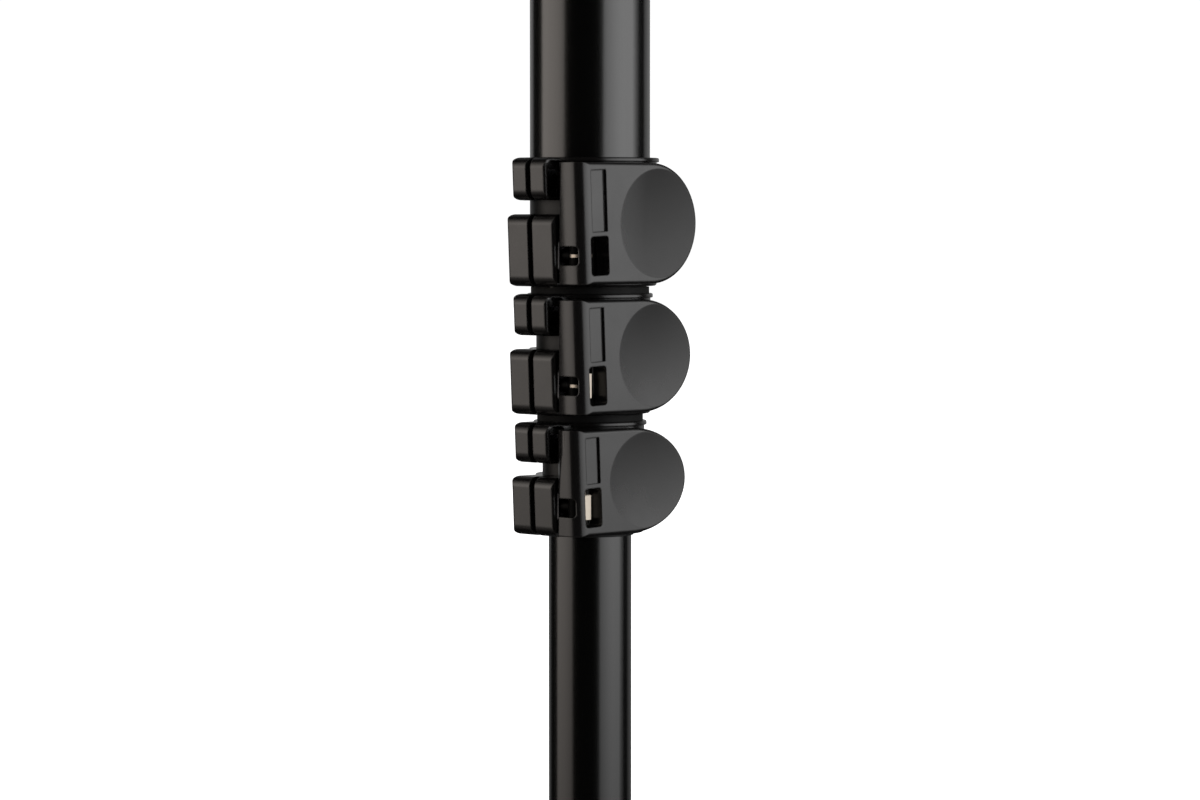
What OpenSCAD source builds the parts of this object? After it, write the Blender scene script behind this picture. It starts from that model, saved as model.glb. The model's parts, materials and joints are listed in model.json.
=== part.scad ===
// Camera monopod: four telescoping tubes held by three cam clamp locks.
// Millimetres, +Z up along the leg, origin at the centre of the foot's flat bottom.
// The split ears of every lock point to -Y and its lever lies on the +X side.
// Locks count from the top: 0, 1, 2. Tubes count from the top: 0, 1, 2, 3.

/* [Tubes] */
// Outer diameter of the top tube
tube_d = 36; // [35:0.1:41]
// Step down in outer diameter from one tube to the next
tube_step = 3.7; // [3.6:0.1:4.4]
// Wall thickness of every tube
tube_wall = 1.2; // [1:0.05:1.3]
// Length of every tube
tube_len = 430; // [320:5:600]
// How far the lowest tube is drawn out while the others are pushed in
drawn_out = 100; // [20:1:200]

/* [Collars] */
// Height of the top collar
collar_h = 38.2; // [36:0.1:46]
// How much lower each next collar is
collar_h_step = 2.3; // [0:0.1:2.5]
// Clear height between one collar and the next
collar_gap = 2.2; // [2:0.1:4]
// Wall of a collar around its own tube
collar_wall = 2; // [1.8:0.1:3]
// How far the top lip stands out from the collar
lip_out = 0.7; // [0.4:0.1:1.2]
// Thickness of the top lip
lip_t = 1.3; // [0.9:0.1:2]
// Width of the split between the ears
split_w = 2.1; // [1.5:0.1:3]
// Height of the level slot between the upper and the lower ears
slot_h = 4.1; // [2.4:0.1:4.6]
// How far the level slot reaches back past the tube axis
slot_back = 4; // [1:0.5:8]
// Step inside the collar that the outer tube stands on
step_w = 0.6; // [0.5:0.05:0.8]

/* [Ears] */
// Reach of the top lock's ears beyond the top tube
ear_out = 8.1; // [7.9:0.1:9]
// How much less the ears of each next lock stand out
ear_step = 0.45; // [0.2:0.05:0.6]
// Lean of the ear ends and the lever end, in degrees
rake = 2.5; // [0:0.1:3.5]
// Height of the upper ears on the top lock
upper_ear_h = 12.7; // [12.2:0.1:15]
// How much lower the upper ears of each next lock are
upper_ear_step = 0.35; // [0:0.05:0.6]
// Half width of the pair of upper ears
upper_half = 7.2; // [6.6:0.1:7.8]
// Rounding of the ears' upright and level edges
ear_round = 1.2; // [0.6:0.1:1.6]
// Rounding of the outer top corner of an ear, seen from the side
ear_top_r = 3; // [1:0.1:3.4]
// Rounding of the outer bottom corner of an ear, seen from the side
ear_foot_r = 3.2; // [1.5:0.1:3.8]

/* [Levers] */
// Thinnest skin of the top lever, where it passes the collar
lever_skin = 2.1; // [1.9:0.1:3]
// How much nearer to the tube axis the face of each next lever is
face_step = 0.8; // [0:0.1:1]
// Depth of the hinge pin behind the face of the top lever
pin_depth = 5.4; // [5.2:0.1:6.4]
// How much less that depth is on each next lever
pin_depth_step = 0.3; // [0:0.1:0.4]
// Radius of the cam from the hinge pin to the wear plate
cam_r = 6.3; // [6.1:0.1:6.8]
// How far a lever's hinge end stands past the ears
end_out = 0.6; // [0.5:0.1:1.2]
// How much further the lowest lever's hinge end and window reach out
low_end = 1.1; // [0.8:0.1:1.2]
// How far the thumb tip of the top lever stands past the top tube
tip_out = 4.9; // [2:0.1:8]
// How much less the thumb tip of each next lever stands out
tip_step = 1.4; // [0:0.05:1.5]
// Length of the top lever's oval thumb end
thumb_len = 18.6; // [16:0.1:20]
// How much longer the oval of each next lever is
thumb_step = 1.85; // [0:0.05:2]
// Rounding of the edge around the lever's face
face_round = 1; // [0.5:0.1:1.4]
// Rounding of the upright corner at the lever's hinge end
end_round = 4.3; // [1:0.1:4.5]
// Depth of the thumb dish at its middle
dish_depth = 1.3; // [0.6:0.1:1.5]
// Margin from the top lever's thumb dish to its top edge
dish_margin = 1.9; // [1.6:0.1:4]
// How much less that margin is on each next lever
dish_step = 0.3; // [0:0.05:0.4]
// Width of the top lever's window over the hinge
window_w = 7.3; // [6.8:0.1:8]
// How much narrower each next window is
window_step = 0.3; // [0:0.05:0.4]
// Height of the window over the hinge
window_h = 11.5; // [11:0.1:12.4]
// Height of the notch that lets the eye bolt swing
notch_h = 5.6; // [4.8:0.1:6.2]
// Depth of the bare panel above the window
panel_depth = 0.5; // [0.3:0.1:0.8]
// Depth of the groove along the panel
groove_depth = 1.2; // [0.8:0.1:1.6]
// Width of the groove along the panel
groove_w = 1; // [0.6:0.1:1.4]
// How much narrower each next groove is
groove_step = 0.15; // [0:0.05:0.2]

/* [Fasteners] */
// Height of the eye bolt above the foot of the top collar
bolt_up = 9.2; // [8.8:0.1:10]
// Distance of the top eye bolt outside the top tube
bolt_out = 2.9; // [2.8:0.1:3.2]
// How much nearer to the tubes each next eye bolt is
bolt_step = 0.25; // [0.2:0.05:0.45]
// Radius of the eye bolt's shank
bolt_r = 2; // [1.8:0.05:2.1]
// Radius of the bolt's eye
eye_r = 3.4; // [3.2:0.1:3.6]
// Height of the bolt's eye
eye_h = 7.1; // [6:0.1:8]
// Radius of the hinge pin
pin_r = 2; // [1.6:0.05:2.2]
// Radius of the tension nut, with its wrench socket outside
tension_nut_r = 3; // [2.8:0.05:3.1]
// Length of the tension nut
tension_nut_len = 3.6; // [3:0.1:3.9]
// Radius of the clamp screw that grips the outer tube
clamp_r = 1.5; // [1.2:0.05:1.6]
// Radius of the clamp screw's head
clamp_head_r = 2.75; // [2.5:0.05:2.9]
// Height of the clamp screw's head
clamp_head_h = 2.3; // [1.8:0.1:2.5]
// Width across the flats of the clamp screw's nut
clamp_nut_w = 5.5; // [5:0.1:5.6]
// Thickness of the clamp screw's nut
clamp_nut_t = 2.4; // [2:0.1:3]
// How far the wear plate stands out of its seat
plate_out = 0.8; // [0.6:0.1:1.2]
// How deep the wear plate is seated in the ear
plate_in = 0.6; // [0.4:0.1:1]

/* [Guides] */
// Length of the guide bush at the top of each inner tube
guide_len = 36; // [25:1:60]
// Height of the lip of the liner below its collar
liner_lip_h = 0.8; // [0.4:0.1:1]
// How far the buffer ring stands out from its tube
buffer_out = 1.6; // [1.4:0.1:2.4]

/* [Head] */
// Diameter of the camera platform
platform_d = 50; // [46:1:60]
// Thickness of the camera platform
platform_t = 6; // [5:0.1:8]
// Length of the platform's plug inside the top tube
plug_len = 22; // [20:1:30]
// Thickness of the platform's pad
pad_t = 1.6; // [1.2:0.1:2.5]
// Radius of the big end of the camera screw, 3/8 inch
screw_r = 4.7625; // [4.7:0.0125:4.8]
// Radius of the small end of the camera screw, 1/4 inch
small_screw_r = 3.175; // [3.1:0.0125:3.2]
// Length of the camera screw above the pad
screw_len = 11; // [8:0.5:14]
// Radius of the camera screw's plain middle
screw_mid_r = 7; // [6:0.1:8]
// Length of the camera screw's plain middle
screw_mid_len = 9; // [6:0.5:11]
// Length of the rubber grip
grip_len = 180; // [100:5:240]
// Thickness of the rubber grip
grip_t = 4.6; // [3:0.1:7]
// Height of the ring at each end of the grip
grip_ring_h = 5; // [3:0.5:8]

/* [Foot] */
// Height of the rubber foot
foot_h = 26; // [20:0.5:36]
// Diameter of the rubber foot near the ground
foot_d = 31; // [27:0.5:36]
// Height of the lower groove around the foot's tread
tread_z = 4.5; // [3.5:0.1:6]
// Distance from that groove up to the next one
tread_gap = 3.5; // [3:0.1:4.5]
// Thickness of the plug's flange between tube and foot
flange_t = 3; // [2:0.5:5]
// Length of the plug inside the lowest tube
foot_plug_len = 24; // [16:1:36]
// Radius of the stud that the rubber foot is screwed on
stud_r = 4; // [3:0.1:5]
// Length of that stud
stud_len = 15; // [10:0.5:18]

/* [Hidden] */
$fn = 96;

// Clearances
snug = 0.03;         // between pieces that are fixed to each other
glue_gap = 0.08;     // around a plug that is glued into a tube
running = 0.05;      // radial play of a piece that slides or turns in another
play = 0.3;          // between pieces that pass each other
cam_play = 0.12;     // between the closed cam and the wear plate
hole_play = 0.15;    // radial play of a screw in its hole
cut = 1;             // how far a cutting shape runs past the surface it cuts

// Tubes
last = 3;
function tube_r(i) = (tube_d - i * tube_step) / 2;
function tube_in(i) = tube_r(i) - tube_wall;

// Heights of the three locks in the stored pose
stow_gap = liner_lip_h + play;
leg_end = foot_h + flange_t;
function lock_h(i) = collar_h - i * collar_h_step;
function lock_foot(i) = i == last - 1 ? leg_end + stow_gap + drawn_out : lock_top(i + 1) + collar_gap;
function lock_top(i) = lock_foot(i) + lock_h(i);
function upper_h(i) = upper_ear_h - i * upper_ear_step;
function slot_top(i) = lock_top(i) - upper_h(i);
function slot_foot(i) = slot_top(i) - slot_h;
seat_drop = 1.5;
function seat_z(i) = slot_foot(i) - seat_drop;
function tube_foot(i) = i == last ? leg_end : seat_z(i) + snug;
function tube_top(i) = tube_foot(i) + tube_len;

// Collars
function ring_r(i) = tube_r(i) + collar_wall;
function lip_r(i) = ring_r(i) + lip_out;
function low_bore(i) = tube_r(i) - step_w;
function reach(i) = tube_r(0) + ear_out - i * ear_step;
lean = tan(rake);
function ear_y(i, z) = -(reach(i) - lean * (lock_top(i) - z));
rim = 0.9;           // wall left around a pocket in an ear
pocket_r = 1.6;      // corner rounding of such a pocket

// Levers and their hinges
lever_play = 0.4;
function face_x(i) = ring_r(0) + lever_play + lever_skin - i * face_step;
function hinge_x(i) = face_x(i) - (pin_depth - i * pin_depth_step);
function hinge_y(i) = -(tube_r(0) + bolt_out - i * bolt_step);
function bolt_z(i) = lock_foot(i) + bolt_up;
function plate_x(i) = hinge_x(i) - cam_r;
function ear_half(i) = plate_x(i) - plate_out;
lever_up = 0.8;
function lever_foot(i) = lock_foot(i) + lever_up;
function lever_top(i) = lock_top(i) - lip_t - play;
function lever_h(i) = lever_top(i) - lever_foot(i);
function lever_mid(i) = (lever_top(i) + lever_foot(i)) / 2;
function lever_tip(i) = tube_r(0) + tip_out - i * tip_step;
function thumb_reach(i) = thumb_len + i * thumb_step;
function thumb_y(i) = lever_tip(i) - thumb_reach(i);
function longer(i) = i == last - 1 ? low_end : 0;
function end_y(i, z) = ear_y(i, z) - end_out - longer(i);
end_corner_r = 1.5;
far = 60;            // reach of a cutting shape past the whole lock
chamber_r = eye_r + 0.35;
function window_wide(i) = window_w - i * window_step;
window_off = 2.8;    // the top window's middle lies this far past its pin
function window_y(i) = hinge_y(0) + window_off - longer(i);
window_r = 1;
panel_gap = 1.3;     // from the window up to the bare panel
panel_drop = 2.2;    // from the lever's top down to the bare panel
notch_over = 3.1;    // the notch runs this far past the hinge pin
notch_r = 1.2;
function dish_r(i) = lever_h(i) / 2 - dish_margin + i * dish_step;
dish_stretch = [1, 1, 1.12];     // the lowest dish is longer than it is high
dish_edge = 0.4;     // from the thumb tip to the dish
rim_w = 1.8;         // wall around the hollow behind the thumb plate
hollow_skin = 3.4;   // from the face to the floor of that hollow
rib_t = 1.4;
rib_off = 5.5;

// Clamp screws of the outer tubes
function clamp_y(i) = ear_y(i, slot_top(i)) + rim + play + clamp_head_r;
function clamp_z(i) = lock_top(i) - upper_h(i) / 2;
head_seat = upper_half - clamp_head_h - 0.3;
nut_seat = upper_half - clamp_nut_t - 0.3;

// Guides
function liner_in(i) = tube_r(i + 1) + running;
liner_lip_out = 0.6;
nub_r = 1.9;
nub_drop = 12;
guide_split = 0.8;
guide_drop = 1;

// Head
head_z = tube_top(0);
flange_r = tube_r(0) + 2;
neck_h = 4;
deck_z = head_z + neck_h + platform_t;
pad_in = 1;
pad_z = deck_z - pad_in;
pad_top = pad_z + pad_t;
pad_rim = 1.5;
pad_hole_r = 9;
screw_base = deck_z - screw_mid_len;
small_len = 9;
set_screw_r = 1.5;
grip_top = head_z - grip_ring_h - 2;
grip_foot = grip_top - grip_len;
ring_over = 0.5;

// Foot
foot_r = foot_d / 2;
foot_neck_r = tube_r(last) + 1.1;
tread_r = 2;

// Unit vector along v
function unit(v) = v / norm(v);
// The corners before and after corner k of the outline p
function before(p, k) = p[(k + len(p) - 1) % len(p)];
function after(p, k) = p[(k + 1) % len(p)];
// Half the angle inside corner k
function half_angle(p, k) = acos(unit(before(p, k) - p[k]) * unit(after(p, k) - p[k])) / 2;
// Where a rounding of radius r leaves the two sides of corner k
function leave(p, k, r, q) = p[k] + unit(q - p[k]) * r / tan(half_angle(p, k));
// Middle of that rounding
function round_mid(p, k, r) =
    p[k] + unit(unit(before(p, k) - p[k]) + unit(after(p, k) - p[k])) * r / sin(half_angle(p, k));

// An outline with true arcs of radius r[k] at its outer corners p[k]
module rounded(p, r) {
    polygon([
        for (k = [0 : len(p) - 1])
            each r[k] > 0
                ? [leave(p, k, r[k], before(p, k)), leave(p, k, r[k], after(p, k))]
                : [p[k]]
    ]);
    for (k = [0 : len(p) - 1])
        if (r[k] > 0)
            translate(round_mid(p, k, r[k])) circle(r = r[k]);
}

// A box outline between two corners with all corners rounded alike
module rounded_box(low, high, r) {
    rounded([low, [high.x, low.y], high, [low.x, high.y]], [r, r, r, r]);
}

// Carries an outline drawn as (y, z) along X
module along_x(x0, x1) {
    translate([x0, 0, 0]) rotate([90, 0, 90]) linear_extrude(x1 - x0) children();
}

// Carries an outline drawn as (x, z) along Y
module along_y(y0, y1) {
    translate([0, y1, 0]) rotate([90, 0, 0]) linear_extrude(y1 - y0) children();
}

// Carries an outline drawn as (x, y) up Z
module along_z(z0, z1) {
    translate([0, 0, z0]) linear_extrude(z1 - z0) children();
}

// A round bar along X at a height and depth
module bar_x(r, x0, x1, y, z) {
    translate([x0, y, z]) rotate([0, 90, 0]) cylinder(r = r, h = x1 - x0);
}

// A straight tube of metal
module pipe(r_out, r_in, z0, z1) {
    translate([0, 0, z0]) difference() {
        cylinder(r = r_out, h = z1 - z0);
        translate([0, 0, -cut]) cylinder(r = r_in, h = z1 - z0 + 2 * cut);
    }
}

// One telescoping tube, with the holes that its guide bush clips into
module leg_tube(i) {
    color("#1c1c1e") difference() {
        pipe(tube_r(i), tube_in(i), tube_foot(i), tube_top(i));
        if (i > 0)
            bar_x(nub_r + snug, -tube_r(i) - cut, tube_r(i) + cut, 0, tube_top(i) - nub_drop);
    }
}

// Two half shells that centre an inner tube in the tube around it
module guide_bush(i) {
    r_out = tube_in(i - 1) - running;
    z1 = tube_top(i) - guide_drop;
    z0 = z1 - guide_len;
    color("#2b2b2e") {
        difference() {
            union() {
                pipe(r_out, tube_r(i) + snug, z0, z1);
                intersection() {
                    bar_x(nub_r, -r_out, r_out, 0, tube_top(i) - nub_drop);
                    pipe(r_out, tube_in(i), z0, z1);
                }
            }
            along_z(z0 - cut, z1 + cut) translate([-guide_split / 2, -far]) square([guide_split, 2 * far]);
        }
    }
}

// The solid of a pair of ears before it is split
module ear_pair(i, half, z0, z1) {
    intersection() {
        along_x(-half, half)
            rounded(
                [[0, z0], [0, z1], [ear_y(i, z1), z1], [ear_y(i, z0), z0]],
                [0, 0, ear_top_r, ear_foot_r]
            );
        translate([0, ear_y(i, lock_top(i)), lock_top(i)])
            rotate([rake, 0, 0])
                along_z(-lock_h(i) - 4, 4)
                    rounded(
                        [[-half, reach(i) + 4], [-half, 0], [half, 0], [half, reach(i) + 4]],
                        [0, ear_round, ear_round, 0]
                    );
        along_y(-far, 0)
            rounded_box([-half, z0], [half, z1], ear_round);
    }
}

// A die-cast collar: its upper ears grip the outer tube, its lower ears squeeze the liner
module collar(i) {
    foot = lock_foot(i);
    top = lock_top(i);
    half = ear_half(i);
    color("#202022") difference() {
        union() {
            rotate_extrude()
                rounded(
                    [
                        [0, foot], [ring_r(i), foot], [ring_r(i), top - lip_t],
                        [lip_r(i), top - lip_t], [lip_r(i), top], [0, top]
                    ],
                    [0, 0.8, 0, 0.3, 0.5, 0]
                );
            ear_pair(i, upper_half, slot_top(i), top);
            ear_pair(i, half, foot, slot_foot(i));
        }
        // Seat of the outer tube
        translate([0, 0, seat_z(i)]) cylinder(r = tube_r(i) + snug, h = far);
        // Seat of the liner
        translate([0, 0, foot - cut]) cylinder(r = low_bore(i), h = seat_z(i) - foot + 2 * cut);
        // Split between the ears
        along_z(foot - cut, top + cut)
            translate([-split_w / 2, -far]) square([split_w, far - low_bore(i) / 2]);
        // Level slot
        along_x(-far, far)
            translate([-far, slot_foot(i)]) square([far + slot_back, slot_h]);
        // Room for the cam as it turns
        translate([hinge_x(i), hinge_y(i), foot - cut])
            cylinder(r = cam_r + play, h = top - lip_t - foot + cut);
        // Clamp screw, its head pocket and its nut pocket
        bar_x(clamp_r + hole_play, -far, far, clamp_y(i), clamp_z(i));
        along_x(head_seat, far)
            rounded_box(
                [ear_y(i, slot_top(i)) + rim, slot_top(i) + rim],
                [clamp_y(i) + clamp_head_r + play, top - rim],
                pocket_r
            );
        translate([-nut_seat, clamp_y(i), clamp_z(i)])
            rotate([0, -90, 0])
                cylinder(d = (clamp_nut_w + 2 * hole_play) / cos(30), h = far, $fn = 6);
        // Eye bolt, its nut and the seat of the wear plate
        bar_x(bolt_r + hole_play, -far, far, hinge_y(i), bolt_z(i));
        bar_x(tension_nut_r + hole_play, -far, tension_nut_len - half, hinge_y(i), bolt_z(i));
        along_x(half - plate_in, far)
            rounded_box(plate_low(i) - [snug, snug], plate_high(i) + [snug, snug], pocket_r);
    }
}

// The wear plate's corners, as (y, z)
function plate_low(i) = [ear_y(i, lock_foot(i)) + rim, bolt_z(i) - 5];
function plate_high(i) = [hinge_y(i) + 2.6, bolt_z(i) + 5];

// Hard plate that the cam presses on
module wear_plate(i) {
    color("#8d8d8a") difference() {
        along_x(ear_half(i) - plate_in + 0.01, plate_x(i))
            rounded_box(plate_low(i), plate_high(i), pocket_r);
        bar_x(bolt_r + hole_play, 0, far, hinge_y(i), bolt_z(i));
    }
}

// Split plastic sleeve between a collar and the inner tube
module liner(i) {
    foot = lock_foot(i);
    color("#3a3a3c") difference() {
        union() {
            pipe(low_bore(i) - snug, liner_in(i), foot, seat_z(i));
            pipe(tube_r(i + 1) + liner_lip_out, liner_in(i), foot - liner_lip_h, foot + cut);
        }
        along_z(foot - far, foot + far)
            translate([-split_w / 2, -far]) square([split_w, far]);
    }
}

// Ring on top of a collar that cushions the collar above when the tubes are pushed in
module buffer_ring(i) {
    z0 = lock_top(i);
    z1 = lock_foot(i - 1) - play;
    lip_z = lock_foot(i - 1) - liner_lip_h - play;
    color("#19191a") difference() {
        pipe(tube_r(i) + buffer_out, tube_r(i) + snug, z0, z1);
        translate([0, 0, lip_z]) cylinder(r = tube_r(i) + liner_lip_out + play, h = far);
    }
}

// Socket screw through the upper ears
module clamp_screw(i) {
    color("#6f6f70") difference() {
        union() {
            bar_x(clamp_r, -upper_half + 0.4, head_seat + cut, clamp_y(i), clamp_z(i));
            bar_x(clamp_head_r, head_seat, head_seat + clamp_head_h, clamp_y(i), clamp_z(i));
        }
        translate([head_seat + clamp_head_h / 3, clamp_y(i), clamp_z(i)])
            rotate([0, 90, 0]) cylinder(d = 2.9, h = clamp_head_h, $fn = 6);
    }
}

// Nut of the clamp screw
module clamp_nut(i) {
    color("#6f6f70") difference() {
        translate([-nut_seat, clamp_y(i), clamp_z(i)])
            rotate([0, -90, 0])
                cylinder(d = clamp_nut_w / cos(30), h = clamp_nut_t, $fn = 6);
        bar_x(clamp_r + snug, -far, 0, clamp_y(i), clamp_z(i));
    }
}

// The lever's outer shape before its openings are cut
module lever_blank(i) {
    face = face_x(i);
    foot = lever_foot(i);
    top = lever_top(i);
    intersection() {
        union() {
            // Straight part with a rounded face edge
            along_y(-far, thumb_y(i))
                rounded([[0, foot], [face, foot], [face, top], [0, top]], [0, face_round, face_round, 0]);
            // Oval thumb end with the same edge
            translate([0, thumb_y(i), lever_mid(i)])
                scale([1, thumb_reach(i) / (lever_h(i) / 2), 1])
                    rotate([0, 90, 0]) rotate_extrude()
                        rounded(
                            [[0, 0], [lever_h(i) / 2, 0], [lever_h(i) / 2, face], [0, face]],
                            [0, 0, face_round, 0]
                        );
        }
        // Leaning hinge end with a rounded upright corner
        translate([0, end_y(i, top), top])
            rotate([rake, 0, 0])
                along_z(-far, 4)
                    rounded([[0, far], [0, 0], [face, 0], [face, far]], [0, 0, end_round, 0]);
        // Plan: the plate and the cam around the hinge pin
        along_z(foot - cut, top + cut) {
            translate([hinge_x(i), -far]) square([far, 2 * far]);
            translate([hinge_x(i), hinge_y(i)]) circle(r = cam_r - cam_play);
        }
    }
}

// The cutting shape of the hollow behind the thumb plate, with its ribs left standing
module thumb_hollow(i) {
    floor_x = face_x(i) - hollow_skin;
    difference() {
        intersection() {
            translate([0, thumb_y(i), lever_mid(i)])
                rotate([90, 0, 90]) linear_extrude(floor_x)
                    scale([(thumb_reach(i) - rim_w) / (lever_h(i) / 2 - rim_w), 1])
                        circle(r = lever_h(i) / 2 - rim_w);
            translate([0, 2, lever_foot(i)]) cube([floor_x, far, lever_h(i)]);
        }
        for (side = [-1, 1])
            translate([0, 0, lever_mid(i) + side * rib_off - rib_t / 2]) cube([far, far, rib_t]);
    }
}

// Cam lever with a dished thumb end, a window over its hinge and a bare panel
module lever(i) {
    face = face_x(i);
    ball_r = (dish_r(i) * dish_r(i) + dish_depth * dish_depth) / (2 * dish_depth);
    dish_y = lever_tip(i) - dish_edge - dish_r(i) * dish_stretch[i];
    pin_x = hinge_x(i);
    mid_y = window_y(i);
    wide = window_wide(i);
    color("#2a2a2c") difference() {
        lever_blank(i);
        // The collar passes inside
        translate([0, 0, lever_foot(i) - cut]) cylinder(r = ring_r(i) + lever_play, h = far);
        thumb_hollow(i);
        // Thumb dish
        translate([face + ball_r - dish_depth, dish_y, lever_mid(i)])
            scale([1, dish_stretch[i], 1]) sphere(r = ball_r, $fn = 200);
        // Window, chamber of the eye, notch for the bolt and bore of the pin
        translate([0, mid_y, bolt_z(i)])
            rotate([rake, 0, 0])
                along_x(pin_x - 0.6, face + cut)
                    rounded_box([-wide / 2, -window_h / 2], [wide / 2, window_h / 2], window_r);
        translate([pin_x, hinge_y(i), bolt_z(i) - window_h / 2]) cylinder(r = chamber_r, h = window_h);
        along_y(-far, hinge_y(i) + bolt_r + play)
            rounded(
                [[0, bolt_z(i) - notch_h / 2], [pin_x + notch_over, bolt_z(i) - notch_h / 2],
                 [pin_x + notch_over, bolt_z(i) + notch_h / 2], [0, bolt_z(i) + notch_h / 2]],
                [0, notch_r, notch_r, 0]
            );
        translate([pin_x, hinge_y(i), lever_foot(i) - cut])
            cylinder(r = pin_r + snug, h = pin_top(i) - lever_foot(i) + cut);
        // Bare panel and the groove along it
        translate([0, mid_y, bolt_z(i)])
            rotate([rake, 0, 0]) {
                along_x(face - panel_depth, face + cut)
                    rounded_box(
                        [-wide / 2 + 0.8, window_h / 2 + panel_gap],
                        [wide / 2 - 0.2, lever_top(i) - bolt_z(i) - panel_drop],
                        0.4
                    );
                along_x(face - groove_depth, face + cut)
                    rounded_box(
                        [wide / 2 - 0.2 - groove_w + i * groove_step, window_h / 2 + panel_gap],
                        [wide / 2 - 0.2, lever_top(i) - bolt_z(i) - panel_drop],
                        0.25
                    );
            }
    }
}

// Top of the hinge pin
function pin_top(i) = bolt_z(i) + window_h / 2 + 4.5;

// Steel pin that the lever turns on
module hinge_pin(i) {
    color("#9a9a98")
        translate([hinge_x(i), hinge_y(i), lever_foot(i) + 0.4])
            cylinder(r = pin_r, h = pin_top(i) - lever_foot(i) - 0.5);
}

// Bolt with an eye around the hinge pin; it draws the lower ears together
module eye_bolt(i) {
    color("#b5ada3") difference() {
        union() {
            translate([hinge_x(i), hinge_y(i), bolt_z(i) - eye_h / 2]) cylinder(r = eye_r, h = eye_h);
            bar_x(bolt_r, 0.4 - ear_half(i), hinge_x(i), hinge_y(i), bolt_z(i));
        }
        translate([hinge_x(i), hinge_y(i), bolt_z(i) - far / 2]) cylinder(r = pin_r + running, h = far);
    }
}

// Round nut in the left ear; its wrench socket sets the tension of the lock
module tension_nut(i) {
    x0 = -ear_half(i);
    color("#4a4a4c") difference() {
        bar_x(tension_nut_r, x0, x0 + tension_nut_len - 0.02, hinge_y(i), bolt_z(i));
        bar_x(bolt_r + snug, x0 - cut, 0, hinge_y(i), bolt_z(i));
    }
}

// Platform that the head or camera stands on, with the plug that fills the tube
module platform() {
    r_plug = tube_in(0) - glue_gap;
    color("#242426") difference() {
        rotate_extrude()
            rounded(
                [
                    [0, head_z - plug_len], [r_plug, head_z - plug_len], [r_plug, head_z + snug],
                    [flange_r, head_z + snug], [flange_r, head_z + neck_h],
                    [platform_d / 2, head_z + neck_h + 1.5], [platform_d / 2, deck_z], [0, deck_z]
                ],
                [0, 1, 0, 0.6, 0, 0.8, 0.8, 0]
            );
        translate([0, 0, pad_z]) cylinder(r = platform_d / 2 - pad_rim, h = far);
        translate([0, 0, screw_base]) cylinder(r = screw_mid_r + snug, h = far);
        translate([0, 0, screw_base - small_len - cut]) cylinder(r = small_screw_r + 0.6, h = far);
        bar_x(set_screw_r + snug, screw_mid_r, far, 0, deck_z - platform_t / 2);
    }
}

// Grippy pad under the head or camera
module platform_pad() {
    color("#151515") pipe(platform_d / 2 - pad_rim - 0.1, pad_hole_r, pad_z, pad_top);
}

// Reversible camera screw: 3/8 inch up, 1/4 inch down inside the platform
module camera_screw() {
    color("#b9b9b6") {
        translate([0, 0, screw_base + snug]) {
            cylinder(r = screw_mid_r, h = screw_mid_len - snug);
            translate([0, 0, -small_len]) cylinder(r = small_screw_r, h = small_len + cut);
        }
        rotate_extrude()
            polygon([
                [0, deck_z - cut], [screw_r, deck_z - cut], [screw_r, pad_top + screw_len - 0.8],
                [screw_r - 0.8, pad_top + screw_len], [0, pad_top + screw_len]
            ]);
    }
}

// Grub screw that holds the camera screw
module set_screw() {
    z = deck_z - platform_t / 2;
    color("#6f6f70") difference() {
        bar_x(set_screw_r, screw_mid_r + play, platform_d / 2 - 1.5, 0, z);
        translate([platform_d / 2 - 3.5, 0, z]) rotate([0, 90, 0]) cylinder(d = 1.7, h = far, $fn = 6);
    }
}

// Rubber grip around the top tube
module grip() {
    color("#17171a")
        rotate_extrude()
            rounded(
                [
                    [tube_r(0) + snug, grip_foot], [tube_r(0) + grip_t, grip_foot],
                    [tube_r(0) + grip_t, grip_top], [tube_r(0) + snug, grip_top]
                ],
                [0, 1.5, 1.5, 0]
            );
}

// Ring that ends the rubber grip
module grip_ring(z0) {
    color("#2a2a2c")
        rotate_extrude()
            rounded(
                [
                    [tube_r(0) + snug, z0], [tube_r(0) + grip_t + ring_over, z0],
                    [tube_r(0) + grip_t + ring_over, z0 + grip_ring_h], [tube_r(0) + snug, z0 + grip_ring_h]
                ],
                [0, 1, 1, 0]
            );
}

// Plug glued into the lowest tube, with the stud of the rubber foot
module foot_plug() {
    r_plug = tube_in(last) - glue_gap;
    color("#3a3a3c")
        rotate_extrude()
            rounded(
                [
                    [0, foot_h - stud_len], [stud_r, foot_h - stud_len], [stud_r, foot_h + 0.01],
                    [tube_r(last) + 0.4, foot_h + 0.01], [tube_r(last) + 0.4, leg_end - 0.01],
                    [r_plug, leg_end - 0.01], [r_plug, leg_end + foot_plug_len], [0, leg_end + foot_plug_len]
                ],
                [0, 0.6, 0, 0.4, 0.4, 0, 0.8, 0]
            );
}

// Rubber foot screwed on the plug's stud
module rubber_foot() {
    color("#121212") difference() {
        rotate_extrude()
            rounded(
                [
                    [0, 0], [foot_r, 0], [foot_r, foot_h * 0.45],
                    [foot_neck_r, foot_h * 0.7], [foot_neck_r, foot_h], [0, foot_h]
                ],
                [0, 2.5, 1.5, 0, 1, 0]
            );
        translate([0, 0, foot_h - stud_len - 0.5]) cylinder(r = stud_r + snug, h = far);
        // Grooves around the tread
        for (k = [0, 1])
            translate([0, 0, tread_z + k * tread_gap])
                rotate_extrude() translate([foot_r + 1, 0]) circle(r = tread_r * 0.75, $fn = 24);
    }
}

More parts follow.
